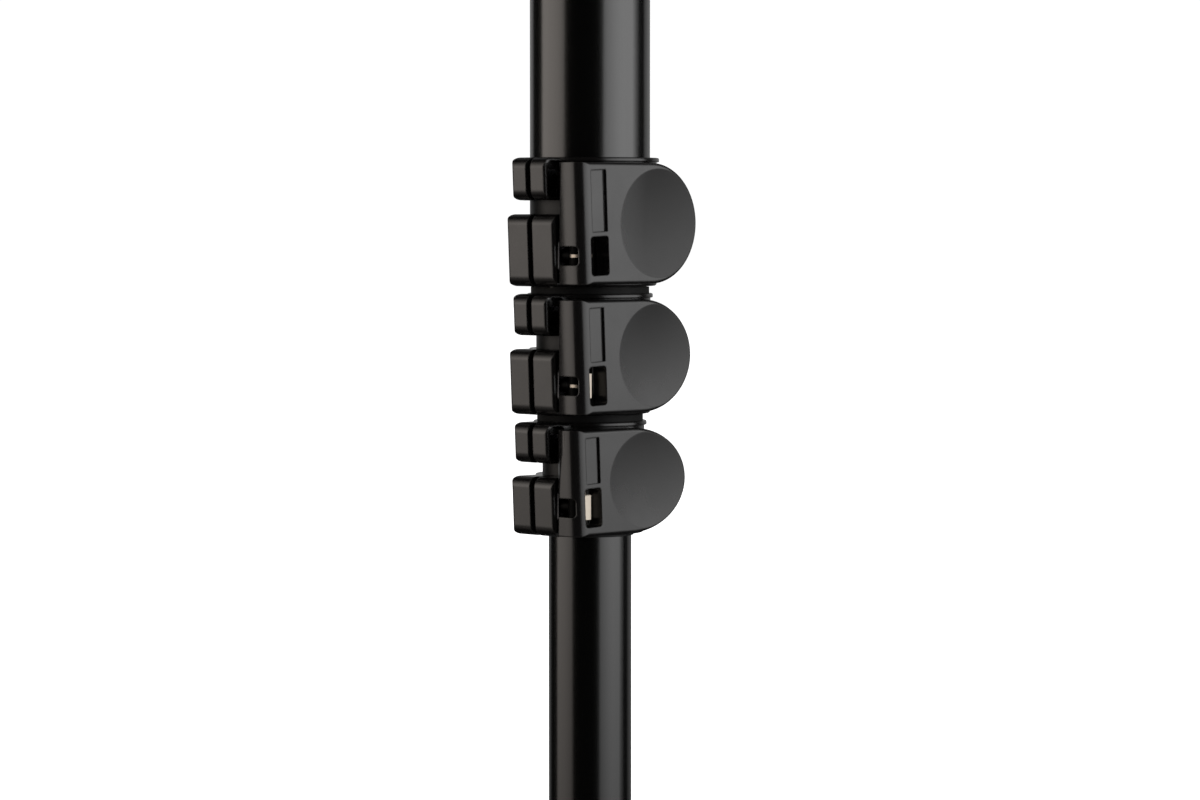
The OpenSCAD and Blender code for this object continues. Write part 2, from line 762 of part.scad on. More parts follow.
leg_tube(0);  // tube_1
leg_tube(1);  // tube_2
leg_tube(2);  // tube_3
leg_tube(3);  // tube_4
guide_bush(1);  // guide_bush_2
guide_bush(2);  // guide_bush_3
guide_bush(3);  // guide_bush_4
buffer_ring(1);  // buffer_ring_2
buffer_ring(2);  // buffer_ring_3
collar(0);  // collar_1
collar(1);  // collar_2
collar(2);  // collar_3
liner(0);  // liner_1
liner(1);  // liner_2
liner(2);  // liner_3
clamp_screw(0);  // clamp_screw_1
clamp_screw(1);  // clamp_screw_2
clamp_screw(2);  // clamp_screw_3
clamp_nut(0);  // clamp_nut_1
clamp_nut(1);  // clamp_nut_2
clamp_nut(2);  // clamp_nut_3
lever(0);  // lever_1
lever(1);  // lever_2
lever(2);  // lever_3
hinge_pin(0);  // hinge_pin_1
hinge_pin(1);  // hinge_pin_2
hinge_pin(2);  // hinge_pin_3
eye_bolt(0);  // eye_bolt_1
eye_bolt(1);  // eye_bolt_2
eye_bolt(2);  // eye_bolt_3
tension_nut(0);  // tension_nut_1
tension_nut(1);  // tension_nut_2
tension_nut(2);  // tension_nut_3
wear_plate(0);  // wear_plate_1
wear_plate(1);  // wear_plate_2
wear_plate(2);  // wear_plate_3
platform();
platform_pad();
camera_screw();
set_screw();
grip();
grip_ring(grip_top);  // grip_ring_top
grip_ring(grip_foot - grip_ring_h);  // grip_ring_bottom
foot_plug();
rubber_foot();
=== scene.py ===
# %% [markdown]
# # A camera monopod, dressed for its picture
# The leg is four tubes that slide into each other. Each pair is held by a lock: a split collar
# that a cam lever squeezes. The solids come from the CAD model and stay where they are. This
# script gives them their finishes, adds the small repeated details that a drawing leaves out,
# and sets up the studio around them.

# %% Load the model
import json
import math

import bmesh
import bpy
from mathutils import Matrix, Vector


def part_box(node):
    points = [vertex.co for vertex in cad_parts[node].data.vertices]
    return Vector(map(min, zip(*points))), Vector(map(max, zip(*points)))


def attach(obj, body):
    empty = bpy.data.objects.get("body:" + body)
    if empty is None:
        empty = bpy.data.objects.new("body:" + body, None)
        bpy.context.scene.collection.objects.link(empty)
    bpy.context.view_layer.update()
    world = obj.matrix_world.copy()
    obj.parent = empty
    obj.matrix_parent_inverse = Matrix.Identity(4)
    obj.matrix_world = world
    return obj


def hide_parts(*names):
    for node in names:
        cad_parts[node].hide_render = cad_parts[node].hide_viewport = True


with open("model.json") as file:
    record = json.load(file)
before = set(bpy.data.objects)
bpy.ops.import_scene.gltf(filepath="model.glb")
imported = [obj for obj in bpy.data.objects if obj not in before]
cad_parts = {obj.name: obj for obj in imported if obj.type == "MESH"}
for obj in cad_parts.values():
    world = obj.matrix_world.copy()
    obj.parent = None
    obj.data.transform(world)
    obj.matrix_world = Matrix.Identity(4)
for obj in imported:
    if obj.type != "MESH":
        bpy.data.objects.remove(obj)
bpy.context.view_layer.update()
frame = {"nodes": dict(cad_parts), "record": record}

# %% [markdown]
# ## The camera
# The photograph is a close view of the three locks, taken from the corner between the lever
# side and the split side, a little above the locks. A long lens from more than a metre away
# keeps the uprights nearly parallel, so the same lens and distance are used here.

# %% Camera
eye_distance = 1.170
eye_height = 0.22635
aim_height = 0.16965
aim_right = 0.0030
view_turn = math.radians(45)
towards_eye = Vector((math.sin(view_turn), -math.cos(view_turn), 0))
to_the_right = Vector((math.cos(view_turn), math.sin(view_turn), 0))

camera_data = bpy.data.cameras.new("photo_camera")
camera_data.lens = 117.0
camera_data.sensor_width = 36.0
camera_data.clip_end = 50
camera = bpy.data.objects.new("photo_camera", camera_data)
bpy.context.scene.collection.objects.link(camera)
bpy.context.scene.camera = camera
aim = to_the_right * aim_right + Vector((0, 0, aim_height))
camera.location = to_the_right * aim_right + towards_eye * eye_distance + Vector((0, 0, eye_height))
camera.rotation_euler = (aim - camera.location).to_track_quat("-Z", "Y").to_euler()
print("camera", [round(v, 3) for v in camera.location])

# %% [markdown]
# ## Colours and nodes
# Colours are written as the sRGB hex values that are read off a picture, and one function
# turns them into the linear numbers that a shader adds up. A second function adds a node with
# its settings and its links, and three more name the nodes that are used most: maths on
# numbers, maths on directions, and a mix of two values. So a material reads as a short list.

# %% Helpers for any tree of nodes
# A Mix node has its two values and its result at other places for each kind of data
MIX_SOCKETS = {"FLOAT": (2, 3, 0), "VECTOR": (4, 5, 1), "RGBA": (6, 7, 2)}


def hex_colour(text):
    """The linear colour, with an alpha of 1, of an sRGB hex value."""
    parts = [int(text[k : k + 2], 16) / 255 for k in (0, 2, 4)]
    return (*[v / 12.92 if v <= 0.04045 else ((v + 0.055) / 1.055) ** 2.4 for v in parts], 1.0)


def add(tree, kind, inputs=None, out=0, **settings):
    """One output of a new node. Each input is given a value or is linked to another output."""
    node = tree.nodes.new(kind)
    for key, value in settings.items():
        setattr(node, key, value)
    for key, value in (inputs or {}).items():
        if isinstance(value, bpy.types.NodeSocket):
            tree.links.new(value, node.inputs[key])
        else:
            node.inputs[key].default_value = value
    return node.outputs[out]


def maths(tree, operation, *values):
    """The result of one operation on numbers."""
    return add(tree, "ShaderNodeMath", dict(enumerate(values)), operation=operation)


def vectors(tree, operation, *values, out="Vector"):
    """The result of one operation on places or directions."""
    return add(tree, "ShaderNodeVectorMath", dict(enumerate(values)), out=out, operation=operation)


def mix(tree, kind, factor, one, two):
    """The number, direction or colour one where factor is 0, and two where it is 1."""
    first, second, result = MIX_SOCKETS[kind]
    return add(tree, "ShaderNodeMix", {0: factor, first: one, second: two}, result, data_type=kind)


def remap(tree, value, low, high, start=0.3, end=0.7):
    """Low up to start, high from end on. The usual limits are those that noise seldom passes."""
    limits = {"Value": value, "From Min": start, "From Max": end, "To Min": low, "To Max": high}
    return add(tree, "ShaderNodeMapRange", limits, out="Result")


print("mid grey is", round(hex_colour("808080")[0], 4), "in linear light")

# %% [markdown]
# ## What the finishes share
# Every finish here is a noise of some real size that varies a colour, a roughness and a fine
# relief. Texture scales are written as real sizes: MM divided by a size in millimetres. Object
# coordinates are used throughout, so that a mark stays on its piece when a joint moves it.
#
# A casting has no sharp edges. The Bevel node rounds them for the light alone, and the angle
# between its normal and the true one also tells where an edge is, for wear or dust.

# %% Helpers for finishes
MM = 1000.0
GLEAM = 0.5
DULL_GLEAM = 0.18


def new_material(name, **surface):
    """A material with its tree and its shader. An underscore stands for a space in an input."""
    material = bpy.data.materials.new(name)
    material.use_nodes = True
    tree = material.node_tree
    shader = tree.nodes["Principled BSDF"]
    for key, value in surface.items():
        shader.inputs[key.replace("_", " ")].default_value = value
    return material, tree, shader


def wire(tree, shader, **outputs):
    """Link outputs to the shader's inputs of the same names."""
    for key, socket in outputs.items():
        tree.links.new(socket, shader.inputs[key.replace("_", " ")])


def noise(tree, place, size_mm, detail=2.0, stretch=(1, 1, 1)):
    """Noise from 0 to 1 with cells of a real size, longer along an axis where stretch says so."""
    scale = tuple(MM / (size_mm * s) for s in stretch)
    spread = add(tree, "ShaderNodeMapping", {"Vector": place, "Scale": scale}, out="Vector")
    return add(tree, "ShaderNodeTexNoise", {"Vector": spread, "Scale": 1.0, "Detail": detail}, out="Fac")


def bump(tree, height, strength, depth_mm=0.1, normal=None):
    """A normal that leans as if height were a relief of a real depth."""
    inputs = {"Height": height, "Strength": strength, "Distance": depth_mm / MM}
    if normal is not None:
        inputs["Normal"] = normal
    return add(tree, "ShaderNodeBump", inputs, out="Normal")


def soft_edges(tree, radius_mm):
    """A normal that rounds sharp edges, and a mask that is 1 on an edge."""
    rounded = add(tree, "ShaderNodeBevel", {"Radius": radius_mm / MM}, out="Normal", samples=4)
    plain = add(tree, "ShaderNodeNewGeometry", out="Normal")
    same = vectors(tree, "DOT_PRODUCT", rounded, plain, out="Value")
    # The cosines of 31 and 10 degrees: the mask is full past the first angle, empty below the second
    full, empty = 0.86, 0.985
    return rounded, remap(tree, same, 1.0, 0.0, full, empty)


def fixed_normal(tree, way):
    """A direction of the object as a normal in the world, so that it turns with its lever."""
    spaces = {"vector_type": "NORMAL", "convert_from": "OBJECT", "convert_to": "WORLD"}
    return add(tree, "ShaderNodeVectorTransform", {"Vector": way}, **spaces)


print("noise of 1 mm has the scale", MM, "and a dull finish the gleam", DULL_GLEAM)

# %% [markdown]
# ## Black anodised tube
# The tubes are drawn aluminium, blasted, dyed and anodised. The oxide is a thin glassy layer over
# dark dye, so it behaves as a black dielectric with a soft gloss, not as bare metal. Drawing
# leaves faint lines along the tube, which blur each reflection a little across them. The end of
# a tube that stands in a lock is left dull, as the level slot in each collar shows.

# %% Anodised aluminium
dull_rough = 0.4


def anodised(name, dull_below):
    """Black anodised tube, glossy above a height in metres and left dull below it."""
    material, tree, shader = new_material(name, IOR=1.6)
    place = add(tree, "ShaderNodeTexCoord", out="Object")
    draw_lines = noise(tree, place, 0.25, stretch=(1, 1, 240))
    blasted = noise(tree, place, 0.4, detail=3.0)
    skin = mix(tree, "FLOAT", 0.5, draw_lines, blasted)
    dye = noise(tree, place, 30, detail=3.0)
    height = add(tree, "ShaderNodeSeparateXYZ", {"Vector": place}, out="Z")
    dull = maths(tree, "LESS_THAN", height, dull_below)
    wire(
        tree,
        shader,
        Base_Color=mix(tree, "RGBA", dye, hex_colour("000000"), hex_colour("030303")),
        Roughness=mix(tree, "FLOAT", dull, remap(tree, skin, 0.17, 0.24), dull_rough),
        Specular_IOR_Level=remap(tree, dull, GLEAM, DULL_GLEAM, 0.0, 1.0),
        Normal=bump(tree, skin, 0.05),
    )
    print(name, len(tree.nodes), "nodes, dull below", round(dull_below, 4), "m")
    return material


finish_of_node = {}
for k in (1, 2, 3):
    finish_of_node[f"tube_{k}"] = anodised(f"black_anodised_tube_{k}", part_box(f"collar_{k}")[1].z)
finish_of_node["tube_4"] = anodised("black_anodised_tube_4", 0.0)

# %% [markdown]
# ## Thumb dishes
# The thumb dishes are blasted to a dull finish that grips. Each one is a slice of a ball cut into
# the lever's face, so a point belongs to a dish when it lies no further from that ball's centre
# than its radius: that test is the mask between the two finishes. The dish of the third lever is
# wider than high, so there the ball is measured in a space that is squeezed as much.
#
# Thumbs land low in a dish, so the blasted finish is freshest above it and wears off downwards.
# On the upper levers they also rub the side next the hinge.

# %% Where the thumb dishes are
dish_depth = 0.0013
dish_from_end = 0.0004
# The mask fades out between these two distances outside the ball
mask_edge = (0.00002, 0.00006)
# In dish radii from the middle: how high the finish is freshest, and where the rubbed side ends
fresh_above = 1.2
rubbed_side = 0.3
# Fresh and left_by_hinge are shares of the blasted finish, and fades_over is in dish radii
dishes = [
    {"rim": 0.0019, "widening": 1.0, "fresh": 1.0, "fades_over": 4.3, "left_by_hinge": 0.4},
    {"rim": 0.0016, "widening": 1.0, "fresh": 1.0, "fades_over": 2.9, "left_by_hinge": 0.9},
    {"rim": 0.0013, "widening": 1.12, "fresh": 0.76, "fades_over": 2.9, "left_by_hinge": 1.0},
]
for k, dish in enumerate(dishes):
    low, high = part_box(f"lever_{k + 1}")
    across = (high.z - low.z) / 2 - dish["rim"]
    ball = (across**2 + dish_depth**2) / (2 * dish_depth)
    middle_y = high.y - dish_from_end - across * dish["widening"]
    dish["middle"] = (high.x + ball - dish_depth, middle_y, (low.z + high.z) / 2)
    dish["across"] = across
    dish["ball"] = ball
    print("dish", k + 1, "radius", round(across * MM, 2), "mm, ball", round(ball * MM, 1), "mm")


def in_dishes(tree, place):
    """Two masks: 1 inside a thumb dish, and 1 where its finish is still unworn."""
    inside, unworn = 0.0, 0.0
    y_of_place = add(tree, "ShaderNodeSeparateXYZ", {"Vector": place}, out="Y")
    on_the_face = vectors(tree, "MULTIPLY", place, (0, 1, 1))
    for dish in dishes:
        middle, across, ball = dish["middle"], dish["across"], dish["ball"]
        away = vectors(tree, "SUBTRACT", place, middle)
        squeezed = vectors(tree, "MULTIPLY", away, (1, 1 / dish["widening"], 1))
        reach = vectors(tree, "LENGTH", squeezed, out="Value")
        here = remap(tree, reach, 1.0, 0.0, ball + mask_edge[0], ball + mask_edge[1])
        above = (0, middle[1], middle[2] + fresh_above * across)
        far = vectors(tree, "DISTANCE", on_the_face, above, out="Value")
        left = remap(tree, far, dish["fresh"], 0.0, 0.0, dish["fades_over"] * across)
        side = (middle[1] - across, middle[1] - rubbed_side * across)
        by_hinge = remap(tree, y_of_place, dish["left_by_hinge"], 1.0, *side)
        left = maths(tree, "MULTIPLY", maths(tree, "MULTIPLY", left, by_hinge), here)
        inside = maths(tree, "MAXIMUM", here, inside)
        unworn = maths(tree, "MAXIMUM", left, unworn)
    return inside, unworn


# %% [markdown]
# ## Crowned hinge ends
# On the two upper levers the narrow end face beside the hinge is slightly crowned, so its light
# fades towards the ears. The crown is less than half a millimetre high, so it could be a shape,
# but a lean of the normal does the same to the light and leaves the CAD solid alone. The lean is
# full where the end begins and has gone once the crown's width is passed.

# %% Where the levers' hinge ends are crowned
# The end face starts this far in from the lever's lowest x, and lies this near its lowest y
end_inset = 0.0025
end_depth = 0.0025
crown_width = 0.0042
crown_lean = 0.21


def on_crown(tree, place):
    """How far the normal leans towards the ears, on the hinge ends of the two upper levers."""
    at = add(tree, "ShaderNodeSeparateXYZ", {"Vector": place}).node.outputs
    lean = 0.0
    for k in (1, 2):
        low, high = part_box(f"lever_{k}")
        start = low.x + end_inset
        here = remap(tree, at["X"], crown_lean, 0.0, start, start + crown_width)
        tests = (
            ("GREATER_THAN", at["X"], low.x),
            ("LESS_THAN", at["Y"], low.y + end_depth),
            ("GREATER_THAN", at["Z"], low.z),
            ("LESS_THAN", at["Z"], high.z),
        )
        for test in tests:
            here = maths(tree, "MULTIPLY", here, maths(tree, *test))
        lean = maths(tree, "ADD", here, lean)
        print("hinge end", k, "starts at x", round(start * MM, 2), "mm, y", round(low.y * MM, 2), "mm")
    return lean


# %% [markdown]
# ## Powder-coated casting
# Collars and levers are castings under a fine black powder coat. Powder flows as it bakes but
# keeps a slight orange peel, which breaks a highlight into a satin sheen. It draws back from a
# sharp edge, so edges look rounded, and hands rub them until they are a little smoother and paler.
# The dishes take their own roughness from the mask above.

# %% Powder coat
edge_polish = 0.12
dish_rough = 0.36
dish_levelling = 0.5

powder, tree, shader = new_material("black_powder_coat", IOR=1.5)
place = add(tree, "ShaderNodeTexCoord", out="Object")
peel = noise(tree, place, 0.3, detail=3.0)
patches = noise(tree, place, 9, detail=4.0)
edge_normal, on_edge = soft_edges(tree, 0.5)
rubbed = maths(tree, "MULTIPLY", on_edge, patches)
polish = maths(tree, "MULTIPLY", rubbed, edge_polish)
satin = maths(tree, "SUBTRACT", remap(tree, patches, 0.2, 0.26), polish)
inside, unworn = in_dishes(tree, place)
# In a dish the coat lies thicker towards the middle, so it is half as steep as the casting
levelling = maths(tree, "MULTIPLY", inside, dish_levelling)
levelled = mix(tree, "VECTOR", levelling, edge_normal, fixed_normal(tree, (1, 0, 0)))
to_ears = {0: fixed_normal(tree, (-1, 0, 0)), "Scale": on_crown(tree, place)}
lean = add(tree, "ShaderNodeVectorMath", to_ears, operation="SCALE")
crowned = vectors(tree, "NORMALIZE", vectors(tree, "ADD", levelled, lean))
wire(
    tree,
    shader,
    Base_Color=mix(tree, "RGBA", rubbed, hex_colour("0d0c0c"), hex_colour("2e2c2a")),
    Roughness=mix(tree, "FLOAT", unworn, satin, dish_rough),
    Specular_IOR_Level=remap(tree, unworn, GLEAM, DULL_GLEAM, 0.0, 1.0),
    Normal=bump(tree, peel, 0.12, normal=crowned),
)
print(powder.name, len(tree.nodes), "nodes")

# %% [markdown]
# ## Nylon and rubber
# The bushes and liners are moulded nylon with a fine sparked skin. The rubber pieces are duller,
# slightly mottled and take up a little pale dust on their edges. The grip's rubber has a closer
# skin than the foot's. One function makes all three, as they differ only in tone, grain and dust.

# %% Moulded plastics and rubbers
dust_colour = "6b6864"
mould_gleam = 0.22


def moulded(name, dark, pale, rough, skin_mm, skin_depth, dust):
    """A moulded finish between two tones, with a skin of a real grain and dust on its edges."""
    material, tree, shader = new_material(name, IOR=1.5, Specular_IOR_Level=mould_gleam)
    place = add(tree, "ShaderNodeTexCoord", out="Object")
    skin = noise(tree, place, skin_mm, detail=3.0)
    mottle = noise(tree, place, 6, detail=4.0)
    edge_normal, on_edge = soft_edges(tree, 0.3)
    tone = mix(tree, "RGBA", remap(tree, mottle, 0, 1), hex_colour(dark), hex_colour(pale))
    dusty = maths(tree, "MULTIPLY", maths(tree, "MULTIPLY", on_edge, mottle), dust)
    wire(
        tree,
        shader,
        Base_Color=mix(tree, "RGBA", dusty, tone, hex_colour(dust_colour)),
        Roughness=remap(tree, skin, rough - 0.05, rough + 0.05),
        Normal=bump(tree, skin, skin_depth, normal=edge_normal),
    )
    print(name, len(tree.nodes), "nodes")
    return material


nylon = moulded("moulded_black_nylon", "060606", "0d0d0d", 0.5, 0.2, 0.15, 0.12)
rubber = moulded("moulded_black_rubber", "040404", "0a0a09", 0.68, 0.5, 0.3, 0.2)
grip_rubber = moulded("grip_rubber", "101011", "1a1a1b", 0.6, 0.35, 0.35, 0.35)

# %% [markdown]
# ## Steel
# The pins and the camera screw are turned and zinc plated: a bright metal with fine rings from
# the lathe. The socket screws and the wear plates are blackened, a thin dark oxide over metal
# that lets a little of the steel through. Blackening changes only the colour and the gloss, so
# one function makes them all.

# %% Steels


def turned(name, dark, pale, rough, ring_depth):
    """Bare or blackened metal, with the fine rings that a lathe leaves around an upright axis."""
    material, tree, shader = new_material(name, Metallic=1.0)
    place = add(tree, "ShaderNodeTexCoord", out="Object")
    rings = noise(tree, place, 0.12, stretch=(150, 150, 1))
    film = noise(tree, place, 1.5, detail=3.0)
    edge_normal, _ = soft_edges(tree, 0.15)
    wire(
        tree,
        shader,
        Base_Color=mix(tree, "RGBA", film, hex_colour(dark), hex_colour(pale)),
        Roughness=remap(tree, film, rough - 0.05, rough + 0.06),
        Normal=bump(tree, rings, ring_depth, depth_mm=0.05, normal=edge_normal),
    )
    print(name, len(tree.nodes), "nodes")
    return material


steel = turned("zinc_plated_steel", "b9b1a6", "d0c8bd", 0.28, 0.15)
oxide = turned("black_oxide_steel", "3c3c3e", "525254", 0.33, 0.1)

# %% [markdown]
# ## Eye bolts, with painted shade and painted glints
# The eye bolts are bright steel with painted shade: near black where they lie in the lever's notch
# and behind the top lever's window. On the two lower ones the side of the eye that faces the window
# stays bare, with its normal turned as on a ground flat, so it shows one even highlight. On the two
# upper ones a narrow bare ring at the shank's height is a painted glint. The masks are limits along
# the object's axes: X + Y grows from left to right in the picture.

# %% Eye bolts, with painted shade and painted glints
# The bare flat lies past a limit of X + Y and below the top lever; painted shade covers the rest.
# The painted glint lies past another limit of X + Y, and past the X at which the shank ends and
# the eye starts
flat_past = -0.0021
flat_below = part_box("lever_1")[0].z
flat_turn = math.radians(15)
flat_share = 0.7
glint_past = -0.0082
glint_half = 0.00045
eye_starts = 0.0132

eye_bolt_shade_and_glint = turned("eye_bolt_painted_shade_and_glint", "a0978b", "b5aca0", 0.42, 0.15)
tree = eye_bolt_shade_and_glint.node_tree
shader = tree.nodes["Principled BSDF"]
place = add(tree, "ShaderNodeTexCoord", out="Object")
at = add(tree, "ShaderNodeSeparateXYZ", {"Vector": place}).node.outputs
to_right = maths(tree, "ADD", at["X"], at["Y"])
too_far_left = maths(tree, "LESS_THAN", to_right, flat_past)
too_high = maths(tree, "GREATER_THAN", at["Z"], flat_below)
not_flat = maths(tree, "MAXIMUM", too_far_left, too_high)

# The painted glint: a thin bare band at the middle height of each of the two upper eye bolts
off_painted_glint = 1.0
for k in (1, 2):
    low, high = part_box(f"eye_bolt_{k}")
    apart = maths(tree, "ABSOLUTE", maths(tree, "SUBTRACT", at["Z"], (low.z + high.z) / 2))
    off_painted_glint = maths(tree, "MINIMUM", apart, off_painted_glint)
off_painted_glint = maths(tree, "GREATER_THAN", off_painted_glint, glint_half)
off_painted_glint = maths(tree, "MAXIMUM", off_painted_glint, maths(tree, "LESS_THAN", at["X"], eye_starts))
off_painted_glint = maths(tree, "MAXIMUM", off_painted_glint, maths(tree, "LESS_THAN", to_right, glint_past))
# Painted shade: 1 where the eye bolt is painted near black, outside the bare flat and the painted glint
black = maths(tree, "MULTIPLY", not_flat, off_painted_glint)

rounded = shader.inputs["Normal"].links[0].from_socket
bare = shader.inputs["Base Color"].links[0].from_socket
flat_way = fixed_normal(tree, (math.cos(flat_turn), -math.sin(flat_turn), 0))
flattened = remap(tree, not_flat, flat_share, 0.0, 0.0, 1.0)
# The painted shade turns the bare steel near black, and the flat's normal turns towards the window
wire(
    tree,
    shader,
    Base_Color=mix(tree, "RGBA", black, bare, hex_colour("050505")),
    Normal=mix(tree, "VECTOR", flattened, rounded, flat_way),
)
for k in (1, 2, 3):
    finish_of_node[f"eye_bolt_{k}"] = eye_bolt_shade_and_glint
print(eye_bolt_shade_and_glint.name, len(tree.nodes), "nodes with its masks, ground below", round(flat_below, 4), "m")

# %% [markdown]
# ## One finish for each node
# The CAD model comes with material slots, which say what each node is made of. A finish that
# depends on the node, as a tube's or an eye bolt's does, goes before the one of its slot.

# %% Give each node its finish
finish_of_slot = {
    "black coated die casting": powder,
    "black nylon": nylon,
    "black rubber": rubber,
    "grip rubber": grip_rubber,
    "bright steel": steel,
    "blackened steel": oxide,
}
for part in frame["record"]["subparts"]:
    finish = finish_of_node.get(part["node"]) or finish_of_slot[part["material_slot"]]
    for slot in frame["nodes"][part["node"]].material_slots:
        slot.material = finish

# %% [markdown]
# ## A thread by rule
# A thread is one small shape repeated along a path, so it is written once as a Geometry Nodes
# tree with named sizes, and used for both ends of the camera screw. A V thread whose sides meet
# at 60 degrees has a profile with three equal sides as long as the pitch. The profile runs along
# a helix, and at each end it shrinks into the core, as a cut thread runs out.

# %% The tree of a V thread
three_eighths = {"Outer Radius": 0.0047625, "Pitch": 0.0015875}
one_quarter = {"Outer Radius": 0.003175, "Pitch": 0.00127}
helix_steps = 48
run_out_speed = 3.0
thinnest = 0.02


def growing_tree(name, sizes, material):
    """A Geometry Nodes tree with named number inputs, and a function that ends it."""
    tree = bpy.data.node_groups.new(name, "GeometryNodeTree")
    tree.interface.new_socket("Geometry", in_out="OUTPUT", socket_type="NodeSocketGeometry")
    for key, value in sizes.items():
        socket = tree.interface.new_socket(key, in_out="INPUT", socket_type="NodeSocketFloat")
        socket.default_value = value
    given = tree.nodes.new("NodeGroupInput").outputs

    def close(shape):
        real = add(tree, "GeometryNodeRealizeInstances", {"Geometry": shape}, out="Geometry")
        coat = {"Geometry": real, "Material": material}
        coated = add(tree, "GeometryNodeSetMaterial", coat, out="Geometry")
        tree.links.new(coated, tree.nodes.new("NodeGroupOutput").inputs[0])
        print(name, "inputs", list(sizes))

    return tree, given, close


thread_sizes = {**three_eighths, "Foot": 0, "Top": 0.01}
thread_tree, given, close = growing_tree("v_thread", thread_sizes, steel)
tree = thread_tree
profile_r = maths(tree, "DIVIDE", given["Pitch"], math.sqrt(3))
path_r = maths(tree, "SUBTRACT", given["Outer Radius"], profile_r)
whole_height = maths(tree, "SUBTRACT", given["Top"], given["Foot"])
free_height = maths(tree, "SUBTRACT", whole_height, given["Pitch"])
turns = maths(tree, "DIVIDE", free_height, given["Pitch"])
helix = {
    "Resolution": helix_steps,
    "Rotations": turns,
    "Start Radius": path_r,
    "End Radius": path_r,
    "Height": free_height,
    "Reverse": True,
}
path = add(tree, "GeometryNodeCurveSpiral", helix, out="Curve")
path = add(tree, "GeometryNodeSetCurveNormal", {"Curve": path}, out="Curve", mode="Z_UP")
# The ridge reaches its full height a third of a turn from each end
along = add(tree, "GeometryNodeSplineParameter", out="Factor")
nearest_end = maths(tree, "MINIMUM", along, maths(tree, "SUBTRACT", 1.0, along))
turns_in = maths(tree, "MULTIPLY", nearest_end, turns)
run_out = maths(tree, "MINIMUM", maths(tree, "MULTIPLY", turns_in, run_out_speed), 1.0)
ridge_size = {"Curve": path, "Radius": maths(tree, "MAXIMUM", run_out, thinnest)}
path = add(tree, "GeometryNodeSetCurveRadius", ridge_size, out="Curve")
triangle = {"Resolution": 3, "Radius": profile_r}
profile = add(tree, "GeometryNodeCurvePrimitiveCircle", triangle, out="Curve")
ridge = {"Curve": path, "Profile Curve": profile, "Fill Caps": True}
ridge = add(tree, "GeometryNodeCurveToMesh", ridge, out="Mesh")
half_pitch = maths(tree, "MULTIPLY", given["Pitch"], 0.5)
lift = add(tree, "ShaderNodeCombineXYZ", {"Z": maths(tree, "ADD", given["Foot"], half_pitch)})
close(add(tree, "GeometryNodeTransform", {"Geometry": ridge, "Translation": lift}, out="Geometry"))

# %% [markdown]
# ## From a tree to a piece
# The export drops instances and modifiers, so a tree's result is turned into a plain mesh, and the
# object that made it is removed. One piece may join several meshes. It is then fastened to the
# body that it moves with, and may stand for a CAD node, which it hides.

# %% Helpers for meshes and pieces


def grow(name, tree, sizes):
    """The plain mesh that a tree makes with these sizes."""
    maker = bpy.data.objects.new(name, bpy.data.meshes.new(name))
    bpy.context.scene.collection.objects.link(maker)
    nodes = maker.modifiers.new(name, "NODES")
    nodes.node_group = tree
    for item in tree.interface.items_tree:
        if item.in_out == "INPUT" and item.name in sizes:
            nodes[item.identifier] = float(sizes[item.name])
    graph = bpy.context.evaluated_depsgraph_get()
    mesh = bpy.data.meshes.new_from_object(maker.evaluated_get(graph), depsgraph=graph)
    bpy.data.objects.remove(maker)
    print(name, len(mesh.vertices), "vertices")
    return mesh


def piece_of(name, meshes, material, body, replaced=None):
    """One object made of several meshes, all in one material, fastened to its body."""
    joined = bmesh.new()
    for mesh in meshes:
        joined.from_mesh(mesh)
    for face in joined.faces:
        face.material_index = 0
    mesh = bpy.data.meshes.new(name)
    joined.to_mesh(mesh)
    joined.free()
    mesh.materials.append(material)
    piece = bpy.data.objects.new(name, mesh)
    bpy.context.scene.collection.objects.link(piece)
    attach(piece, body)
    if replaced:
        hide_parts(replaced)
    print(name, "rides on", body)


def lathe(name, outline, steps=96):
    """A turned solid, from an outline of (radius, height) that starts and ends on the axis."""
    shape = bmesh.new()
    angles = [2 * math.pi * k / steps for k in range(steps)]
    rings = []
    for radius, height in outline:
        if radius == 0:
            rings.append([shape.verts.new((0, 0, height))] * steps)
            continue
        ring = [(radius * math.cos(a), radius * math.sin(a), height) for a in angles]
        rings.append([shape.verts.new(point) for point in ring])
    for low, high in zip(rings, rings[1:]):
        for k in range(steps):
            corners = [low[k], low[(k + 1) % steps], high[(k + 1) % steps], high[k]]
            shape.faces.new(list(dict.fromkeys(corners)))
    mesh = bpy.data.meshes.new(name)
    shape.to_mesh(mesh)
    shape.free()
    print(name, len(mesh.vertices), "vertices")
    return mesh


# %% [markdown]
# ## The camera screw
# The screw can be turned over: a 3/8 inch thread stands up from the platform, and a 1/4 inch one
# hangs below it, with a flange between them that the platform holds. The core is turned on a
# lathe, and the ridges of both threads lie around it, each a little sunk into its surface. The
# teeth show against the white ground, so they are geometry and not a bump.

# %% The camera screw with its two threads
flange_height = 0.009
flange_gap = 0.00003
flange_r = 0.007
big_core_r = 0.00385
small_core_r = 0.0025
chamfer = 0.0003
point = 0.0004
thread_gap = 0.0002
tip = 0.0006
tip_r = 0.0033
below_cad_top = 0.00002

